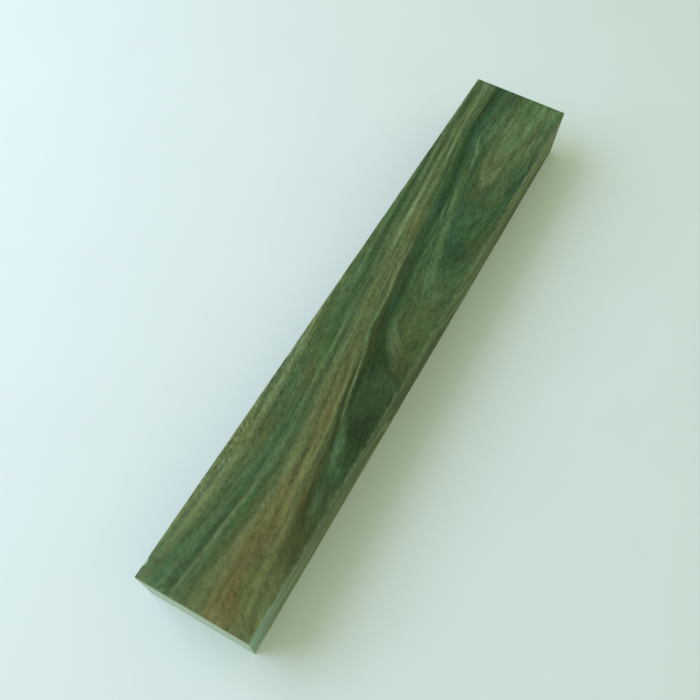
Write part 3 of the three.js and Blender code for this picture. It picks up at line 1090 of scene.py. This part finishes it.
@dataclass(frozen=True)
class PaleBoard:
    """The painted board below, with a chalky matt face, so it gives back soft light and no reflections."""

    name: str = "chalky white paint"
    paint: str = "#dae7e8"
    roughness: float = 0.9
    gloss: float = 0.2
    # A hand-rolled coat is faintly blotched over a few centimetres
    blotch: Pattern = Pattern((60.0, 45.0, 60.0), detail=3.0)
    blotch_light: float = 0.05

    def build(self) -> bpy.types.Material:
        """Builds the paint.

        Returns:
            A material that reads Object coordinates.
        """
        material = bpy.data.materials.new(self.name)
        material.use_nodes = True
        tree = material.node_tree
        tree.nodes.clear()
        place = add_node(tree, "TexCoord", out="Object")
        blotch = self.blotch.lay(tree, place, MM)
        light = add_node(tree, "Math", {0: blotch, 1: self.blotch_light, 2: 1.0}, operation="MULTIPLY_ADD")
        paint = add_node(tree, "VectorMath", {0: linear_colour(self.paint)[:3], "Scale": light},
                         operation="SCALE")
        shader = add_node(tree, "BsdfPrincipled", {"Base Color": paint, "Roughness": self.roughness,
                                                   "Specular IOR Level": self.gloss})
        add_node(tree, "OutputMaterial", {"Surface": shader})
        return material


@dataclass
class SandalwoodBlock:
    """The blank: a long box with eased arrises, ends a little out of square, and knocks in its arrises.

    Attributes:
        low: The blank's lowest corner, in mm.
        high: The blank's highest corner, in mm.
        name: The piece's name.
        ease: The radius of the eased arrises, in mm.
        near_skew: How far the right side stands back at the near end, in mm.
        far_skew: How far the left side stands back at the far end, in mm.
        step_along: The mesh's spacing along the grain, in mm.
        step_across: The mesh's spacing across the wide faces, in mm.
        step_down: The mesh's spacing down the sides, in mm.
        step_chip: The mesh's spacing along the grain at a knock, in mm.
        chip_reach: How far to each side of a knock's middle that spacing goes, in lengths of the knock.
        least_step: How near two lines of the mesh may come, in mm.
        curve_steps: How many rows of faces go half round an arris.
        curve_margins: Where the two lines beyond the curve lie, in eases from the box's edge.
        rub: How much deeper than its ease an arris is worn at most, in mm.
        rub_places: How many places along an arris get a wear of their own.
        rub_reach: How far from an arris the wood that it lost has fallen to about a third, in eases.
        wear_least: How worn an arris looks where it is worn least.
        wear_reach: How far from an arris that look has fallen to about a third, in eases.
        chip_wear: How worn the inside of a knock looks at least.
        stain_cross: How far a stain may spread across the block besides its breadth, in its lengths.
        ring_way: What a mm across the block and a mm up count for round the rings.
        warmth_reach: How far from the near end the browner wood has faded to about a third, in mm.
        side_facing: How far a surface faces sideways where it begins to be a side, and where it is one.
        side_light_reach: How far from the near end its extra painted light has fallen to about a third, in
            mm.
        side_light_least: How much painted light the long sides get far from the near end.
        side_light_near: How much more painted light they get at the near end.
        side_light_far: How much more painted light they get at the far end.
        side_light_far_reach: How far from the far end that has fallen to about a third, in mm.
        end_facing: How far a surface faces lengthways where it begins to be an end, and where it is one.
        thin_fur_shade: How much thinner the fur on the ends is by the wide face, which paints shade under the
            rims.
        thin_fur_shade_reach: How far below the wide face that has fallen to about a third, in mm.
        rim_wear_and_highlight: How worn the rims of the ends look, with a painted highlight on them.
        near_end_highlight: How much painted highlight the faces get where they meet the near end, laid on as
            wear.
        near_end_highlight_reach: How far from the near end that has fallen to about a third, in mm.
        fuzz_reach: How far from the left arris the torn fibres have thinned out to about a third, in mm.
        fuzz_near: Where along the block they begin, and where they are all there, in mm.
        fuzz_far: Where along the block they end, and where they are all there, in mm.
        seed: Where the random draws for wear begin.
        finish: The blank's wood.
        figure: The growth layers in it.
    """

    low: np.ndarray
    high: np.ndarray
    name: str = "planed_blank"
    ease: float = 0.35
    near_skew: float = 1.2
    far_skew: float = 0.8
    step_along: float = 1.05
    step_across: float = 0.62
    step_down: float = 1.3
    step_chip: float = 0.3
    chip_reach: float = 0.6
    least_step: float = 0.02
    curve_steps: int = 3
    curve_margins: tuple[float, float] = (1.8, 3.2)
    rub: float = 0.12
    rub_places: int = 76
    rub_reach: float = 1.7
    wear_least: float = 0.35
    wear_reach: float = 1.2
    chip_wear: float = 0.4
    stain_cross: float = 0.6
    ring_way: tuple[float, float] = (0.8, 0.6)
    warmth_reach: float = 110.0
    side_facing: tuple[float, float] = (0.5, 0.95)
    # Painted light on the long sides, shown as paler wood
    side_light_reach: float = 24.0
    side_light_least: float = 0.18
    side_light_near: float = 0.7
    side_light_far: float = 0.12
    side_light_far_reach: float = 50.0
    end_facing: tuple[float, float] = (0.6, 0.95)
    # Painted shade just under the ends' top rims
    thin_fur_shade: float = 0.33
    thin_fur_shade_reach: float = 4.0
    # Painted highlight with the wear along the ends' rims
    rim_wear_and_highlight: float = 0.7
    # Painted highlight on the faces beside the near end
    near_end_highlight: float = 0.25
    near_end_highlight_reach: float = 1.5
    fuzz_reach: float = 5.0
    fuzz_near: tuple[float, float] = (-125.0, -95.0)
    fuzz_far: tuple[float, float] = (-15.0, -45.0)
    seed: int = 11
    finish: BareSandalwood = BareSandalwood()
    figure: GrowthFigure = GrowthFigure()

    def stations(self, length: float, step: float, extra: np.ndarray | None = None) -> np.ndarray:
        """Places the mesh's lines along one edge of the box, measured from its middle.

        A line on the eased curve lies at the ease times one less the tangent of its angle, measured from the
        box's edge, so the lines come out evenly round the curve. Two ever wider steps follow, and then equal
        ones.

        Args:
            length: The box's length that way, in mm.
            step: The spacing on the flat, in mm.
            extra: More lines to put in, in mm from the middle.

        Returns:
            The lines' places in mm, in rising order.
        """
        angles = np.linspace(radians(45.0), 0.0, self.curve_steps + 1)
        margin = self.ease * np.concatenate([1.0 - np.tan(angles), self.curve_margins])
        count = round((length - 2.0 * margin[-1]) / step)
        flat = np.linspace(margin[-1], length - margin[-1], count + 1)[1:-1]
        lines = np.concatenate([margin, flat, length - margin[::-1]]) - length / 2.0
        if extra is not None:
            lines = np.unique(np.concatenate([lines, extra]))
        gaps = np.diff(lines, append=np.inf)
        return lines[gaps > self.least_step]

    def chip_lines(self) -> np.ndarray:
        """Returns closer lines across the block over the length of each knock."""
        reaches = [(chip.along, self.chip_reach * chip.length) for chip in CHIPS]
        return np.concatenate([np.arange(middle - reach, middle + reach, self.step_chip)
                               for middle, reach in reaches])

    def box_skin(self) -> tuple[np.ndarray, np.ndarray]:
        """Lays a grid over each of the box's six faces and joins the grids along the edges.

        Points that agree to five places of a mm are joined.

        Returns:
            The points, in mm from the box's middle, and the faces' corners, turned outwards.
        """
        size = self.high - self.low
        lines = [self.stations(size[0], self.step_along, self.chip_lines()),
                 self.stations(size[1], self.step_across), self.stations(size[2], self.step_down)]
        points, faces, count = [], [], 0
        for axis in range(3):
            first, second = (axis + 1) % 3, (axis + 2) % 3
            u, v = np.meshgrid(lines[first], lines[second], indexing="ij")
            index = np.arange(u.size).reshape(u.shape)
            corners = np.stack([index[:-1, :-1], index[1:, :-1], index[1:, 1:], index[:-1, 1:]], -1)
            corners = corners.reshape(-1, 4)
            for side in (-1, 1):
                grid = np.empty((u.size, 3))
                grid[:, axis] = side * size[axis] / 2.0
                grid[:, first] = u.ravel()
                grid[:, second] = v.ravel()
                points.append(grid)
                faces.append(count + corners[:, ::side])
                count += u.size
        points = np.concatenate(points)
        _, kept, joined = np.unique(np.round(points, 5), axis=0, return_index=True, return_inverse=True)
        return points[kept], joined.ravel()[np.concatenate(faces)]

    def eased(self, points: np.ndarray) -> tuple[np.ndarray, np.ndarray]:
        """Rounds the box's edges.

        Each point is drawn to the distance of the ease from the nearest point of a smaller box that lies the
        ease deeper on every side.

        Args:
            points: The box's points, in mm from its middle.

        Returns:
            The rounded points and the way that the surface faces at each.
        """
        inner = (self.high - self.low) / 2.0 - self.ease
        core = np.clip(points, -inner, inner)
        facing = points - core
        facing /= np.linalg.norm(facing, axis=1, keepdims=True)
        return core + self.ease * facing, facing

    def arris_distance(self, points: np.ndarray, arris: Arris) -> np.ndarray:
        """Returns how far each point lies from a long edge of the box, in mm."""
        half = (self.high - self.low)[1:] / 2.0
        return np.linalg.norm(points[:, 1:] - half * arris.value, axis=1)

    def rubbed(self, points: np.ndarray, draws: np.random.Generator) -> tuple[np.ndarray, np.ndarray]:
        """Wears the long arrises unevenly by handling.

        The wear follows random heights joined by straight lines along the block. The wood that it takes falls
        off from the arris as e to the minus square of the distance over its reach, and the look of it as e to
        the minus distance over a reach of its own.

        Args:
            points: The rounded points, in mm from the box's middle.
            draws: The source of the random heights.

        Returns:
            The worn points, and how worn each is from 0 to 1.
        """
        length = self.high[0] - self.low[0]
        places = np.linspace(-length / 2.0, length / 2.0, self.rub_places)
        wear_and_highlight = np.zeros(len(points))
        for arris in Arris:
            rise = np.interp(points[:, 0], places, draws.random(len(places)))
            distance = self.arris_distance(points, arris)
            inwards = -np.array((0.0, *arris.value)) / np.sqrt(2.0)
            depth = self.rub * rise * np.exp(-(distance / (self.rub_reach * self.ease)) ** 2)
            points = points + depth[:, None] * inwards
            pale_edge = self.wear_least + (1.0 - self.wear_least) * rise
            wear_and_highlight = np.maximum(wear_and_highlight, pale_edge * np.exp(-distance / (self.wear_reach * self.ease)))
        return points, wear_and_highlight

    def knocked(self, points: np.ndarray, wear_and_highlight: np.ndarray) -> tuple[np.ndarray, np.ndarray]:
        """Presses the knocks into the arrises.

        A knock is a long lens centred on the arris. A point inside it goes in along the arris's diagonal
        until it meets the lens's far side, by the larger root of the lens's own quadratic.

        Args:
            points: The worn points, in mm from the box's middle.
            wear_and_highlight: How worn each point is.

        Returns:
            The knocked points and their wear.
        """
        half = (self.high - self.low)[1:] / 2.0
        for chip in CHIPS:
            centre = np.array((chip.along, *(half * chip.arris.value)))
            lens = np.array((chip.length / 2.0, chip.bite, chip.bite))
            start = (points - centre) / lens
            way = -np.array((0.0, *chip.arris.value)) / np.sqrt(2.0) / lens
            within = (start ** 2).sum(1) < 1.0
            along = start @ way
            reach = np.sqrt(np.maximum(along ** 2 - (way @ way) * ((start ** 2).sum(1) - 1.0), 0.0))
            depth = np.where(within, (reach - along) / (way @ way), 0.0)
            points = points + depth[:, None] * way * lens
            wear_and_highlight = np.where(within, np.maximum(wear_and_highlight, self.chip_wear), wear_and_highlight)
        return points, wear_and_highlight

    def out_of_square(self, points: np.ndarray) -> np.ndarray:
        """Slants the ends.

        Each end is drawn in along the block, evenly more from one side to the other, and every point between
        the ends goes along in step with its distance from the middle.

        Args:
            points: The knocked points, in mm from the box's middle.

        Returns:
            The points of the block with its slanting ends.
        """
        half = (self.high[0] - self.low[0]) / 2.0
        aside = points[:, 1] / (self.high[1] - self.low[1])
        back = np.where(points[:, 0] < 0.0, self.near_skew * (0.5 - aside), self.far_skew * (0.5 + aside))
        return points * np.column_stack([1.0 - back / half, np.ones((len(points), 2))])

    def stained(self, points: np.ndarray, level: np.ndarray) -> tuple[np.ndarray, np.ndarray]:
        """Lays the stains over one another.

        A stain's share at a point is its amount times a smooth step of the distance from its middle, counted
        in its own length along the block and its own breadth across the growth. It also fades across the
        block beyond its breadth and some of its length, so that it stays on its own side of a closed ring.

        Args:
            points: The points, in mm.
            level: The growth level of each, in mm.

        Returns:
            The stains' summed linear colour at each point, and how much of the wood they cover.
        """
        top = self.high[2]
        places = self.figure.face_places(points, top)
        middles = np.array([(stain.along, stain.across, top) for stain in STAINS])
        colour, bare = np.zeros((len(points), 3)), np.ones(len(points))
        for stain, middle, own_level in zip(STAINS, middles, self.figure.levels_at(middles, top)):
            spread = stain.breadth + self.stain_cross * stain.length
            away = (places - middle[:2]) / (stain.length, spread)
            squares = (away ** 2).sum(1) + ((level - own_level) / stain.breadth) ** 2
            share = stain.amount * smooth_step(1.0, 0.0, np.sqrt(squares))
            tone = linear_colour(stain.tone.value)[:3]
            colour = colour * (1.0 - share[:, None]) + share[:, None] * tone
            bare *= 1.0 - share
        return colour, 1.0 - bare

    def seam_levels(self) -> np.ndarray:
        """Returns the growth levels of both ends of each seam, in mm."""
        top = self.high[2]
        ends = np.array([(*place, top) for seam in SEAMS for place in (seam.start, seam.end)])
        return self.figure.levels_at(ends, top).reshape(-1, 2)

    def sawn(self, points: np.ndarray, box_points: np.ndarray, facing: np.ndarray,
             wear_and_highlight: np.ndarray) -> tuple[np.ndarray, np.ndarray]:
        """Works out the fur on the sawn ends, and the wear and painted highlight along their rims.

        The fur thins out towards the wide face, as e to the minus square of the depth over its reach, which
        leaves painted shade just under the top rims. The rims' wear and painted highlight fall off as e to
        the minus distance over the ease, and the painted highlight on the faces beside the near end as e to
        the minus distance over its own reach.

        Args:
            points: The finished points, in mm.
            box_points: The same points on the bare box, in mm from its middle.
            facing: The way that the surface faces at each.
            wear_and_highlight: How worn each is by handling.

        Returns:
            How furry each point is, and its wear with that of the rims and the painted highlights.
        """
        end = smooth_step(*self.end_facing, np.abs(facing[:, 0]))
        # Thinner fur just under the wide face paints shade under the top rims
        end *= 1.0 - self.thin_fur_shade * np.exp(-((self.high[2] - points[:, 2]) / self.thin_fur_shade_reach) ** 2)
        edge = np.abs(box_points) - (self.high - self.low) / 2.0
        back = np.minimum(edge[:, 0], 0.0)
        # Worn rims of the ends, with a painted highlight
        lit_worn_rim = self.rim_wear_and_highlight * np.exp((np.maximum(edge[:, 1], edge[:, 2]) + back) / self.ease) * end
        # Painted highlight on the faces beside the near end
        near_end_highlight = self.near_end_highlight * np.exp(back / self.near_end_highlight_reach) * (points[:, 0] < 0.0)
        return end, np.maximum(wear_and_highlight, np.where(end > 0.0, lit_worn_rim, near_end_highlight))

    def side_light(self, points: np.ndarray, facing: np.ndarray) -> np.ndarray:
        """Works out the painted light on the long sides.

        Args:
            points: The finished points, in mm.
            facing: The way that the surface faces at each.

        Returns:
            How much painted light each point gets, as paler wood: a little all along the sides, more towards
            either end, and not at all on the wide faces.
        """
        # Painted light on the sides, strongest by the near end
        near = np.exp((self.low[0] - points[:, 0]) / self.side_light_reach)
        far = np.exp((points[:, 0] - self.high[0]) / self.side_light_far_reach)
        side_light = self.side_light_least + self.side_light_near * near + self.side_light_far * far
        return side_light * smooth_step(*self.side_facing, np.abs(facing[:, 1]))

    def torn(self, points: np.ndarray) -> np.ndarray:
        """Works out where torn fibres stand up.

        Args:
            points: The finished points, in mm.

        Returns:
            How many there are at each point: most on the left arris, over a stretch of its near half.
        """
        distance = self.arris_distance(points - (self.low + self.high) / 2.0, Arris.TOP_LEFT)
        stretch = smooth_step(*self.fuzz_near, points[:, 0]) * smooth_step(*self.fuzz_far, points[:, 0])
        return np.exp(-distance / self.fuzz_reach) * stretch

    def build(self) -> bpy.types.Object:
        """Builds the blank and dresses it.

        Returns:
            The finished piece.
        """
        draws = np.random.default_rng(self.seed)
        box_points, faces = self.box_skin()
        points, facing = self.eased(box_points)
        points, wear_and_highlight = self.rubbed(points, draws)
        points, wear_and_highlight = self.knocked(points, wear_and_highlight)
        points = self.out_of_square(points) + (self.low + self.high) / 2.0

        end, wear_and_highlight = self.sawn(points, box_points, facing, wear_and_highlight)
        along = self.figure.face_places(points, self.high[2])[:, 0]
        around = self.ring_way[0] * points[:, 1] + self.ring_way[1] * points[:, 2]
        level = self.figure.levels_at(points, self.high[2])
        warmth = np.exp((self.low[0] - along) / self.warmth_reach)
        stain, cover = self.stained(points, level)
        attributes = {"growth": (along, level, around),
                      "fibres": (points[:, 0], self.figure.fanned(points), points[:, 2]),
                      "stain": tuple(stain.T),
                      "tint": (warmth, cover, self.side_light(points, facing)),
                      "surface": (wear_and_highlight, end, self.torn(points))}

        mesh = bpy.data.meshes.new(self.name)
        mesh.from_pydata(points * MM, [], faces)
        mesh.shade_smooth()
        for name, columns in attributes.items():
            attribute = mesh.attributes.new(name, "FLOAT_VECTOR", "POINT")
            attribute.data.foreach_set("vector", np.column_stack(columns).astype(np.float32).ravel())
        mesh.materials.append(self.finish.build(self.seam_levels()))
        piece = bpy.data.objects.new(self.name, mesh)
        bpy.context.scene.collection.objects.link(piece)
        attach(piece, "root")
        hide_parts(NODE_NAME)
        return piece


@dataclass
class Tabletop:
    """The plain pale floor: one flat square, a hair below the blank so that their faces don't share a plane.

    Attributes:
        name: The floor's name.
        side: How long each of its sides is, in m.
        drop: How far it lies below the blank, in m.
        finish: Its paint.
    """

    name: str = "pale_floor"
    side: float = 6.0
    drop: float = 0.02 * MM
    finish: PaleBoard = PaleBoard()

    def build(self) -> bpy.types.Object:
        """Builds the floor.

        Returns:
            The floor.
        """
        half, height = self.side / 2.0, -self.drop
        corners = [(-half, -half, height), (half, -half, height), (half, half, height), (-half, half, height)]
        mesh = bpy.data.meshes.new(self.name)
        mesh.from_pydata(corners, [], [(0, 1, 2, 3)])
        mesh.materials.append(self.finish.build())
        floor = bpy.data.objects.new(self.name, mesh)
        bpy.context.scene.collection.objects.link(floor)
        return floor


@dataclass
class Daylight:
    """Soft daylight from a broad window on the near left, and pale walls and ceiling that fill the shadows.

    Attributes:
        azimuth: The window's direction from the blank, in degrees from +X towards +Y.
        elevation: Its height above the horizon, in degrees.
        distance: How far away it is, in m.
        width: The window's width, in m.
        height: The window's height, in m.
        power: The window's light, in W.
        window: The window's colour.
        room: The room's colour.
        room_light: How bright the room is.
        name: The light's name.
    """

    azimuth: float = 110.0
    elevation: float = 40.0
    distance: float = 0.9
    width: float = 0.9
    height: float = 0.7
    power: float = 7.5
    window: str = "#d4d6ff"
    room: str = "#f7ffd8"
    room_light: float = 0.66
    name: str = "window_light"

    def build(self) -> bpy.types.Object:
        """Builds the window's light and the room around it.

        Returns:
            The window's light.
        """
        lamp = bpy.data.lights.new(self.name, "AREA")
        lamp.shape = "RECTANGLE"
        lamp.size, lamp.size_y = self.width, self.height
        lamp.energy = self.power
        lamp.color = linear_colour(self.window)[:3]
        window = bpy.data.objects.new(self.name, lamp)
        turn, rise = radians(self.azimuth), radians(self.elevation)
        window.location = self.distance * Vector((cos(rise) * cos(turn), cos(rise) * sin(turn), sin(rise)))
        window.rotation_euler = window.location.to_track_quat("Z", "Y").to_euler()
        bpy.context.scene.collection.objects.link(window)

        world = bpy.data.worlds.new("pale room")
        world.use_nodes = True
        world.node_tree.nodes.clear()
        room = add_node(world.node_tree, "Background", {"Color": linear_colour(self.room),
                                                        "Strength": self.room_light})
        add_node(world.node_tree, "OutputWorld", {"Surface": room})
        bpy.context.scene.world = world
        return window


@dataclass
class PortraitCamera:
    """The camera of the portrait: hand-held above the near end, looking down along the blank.

    Attributes:
        place: Where it is, in mm.
        aim: The point on the wide face at the middle of the picture, in mm.
        roll: How far it is turned about its line of sight, in degrees.
        lens: Its focal length, in mm.
        frame_width: The width of the frame behind that lens, in mm.
        nearest: How near a thing has to be to go unseen, in mm.
        name: The camera's name.
    """

    place: tuple[float, float, float] = (-165.316, -66.366, 318.173)
    aim: tuple[float, float, float] = (-27.549, 2.748, 28.6)
    roll: float = 3.33
    lens: float = 39.34
    frame_width: float = 36.0
    nearest: float = 10.0
    name: str = "portrait_camera"

    def build(self) -> bpy.types.Object:
        """Builds the camera and makes it the scene's own.

        Returns:
            The camera.
        """
        ahead = (Vector(self.aim) - Vector(self.place)).normalized()
        level = ahead.cross(Vector((0.0, 0.0, 1.0))).normalized()
        upright = level.cross(ahead)
        turn = radians(self.roll)
        right = cos(turn) * level + sin(turn) * upright
        up = cos(turn) * upright - sin(turn) * level
        lens = bpy.data.cameras.new(self.name)
        lens.lens = self.lens
        lens.sensor_width = self.frame_width
        lens.clip_start = self.nearest * MM
        camera = bpy.data.objects.new(self.name, lens)
        turned = Matrix((right, up, -ahead)).transposed().to_4x4()
        camera.matrix_world = Matrix.Translation(Vector(self.place) * MM) @ turned
        bpy.context.scene.collection.objects.link(camera)
        bpy.context.scene.camera = camera
        return camera


def main() -> None:
    """Builds the camera, the light, the floor and the blank, and reports each."""
    logging.basicConfig(level=logging.INFO, format="%(name)s: %(message)s")
    bpy.context.scene.view_settings.view_transform = "Standard"
    low, high = (np.array(corner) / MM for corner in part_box(NODE_NAME))
    for part in (PortraitCamera(), Daylight(), Tabletop(), SandalwoodBlock(low, high)):
        made = part.build()
        LOG.info("%s made as %s", type(part).__name__, made.name)


if __name__ == "__main__":
    main()
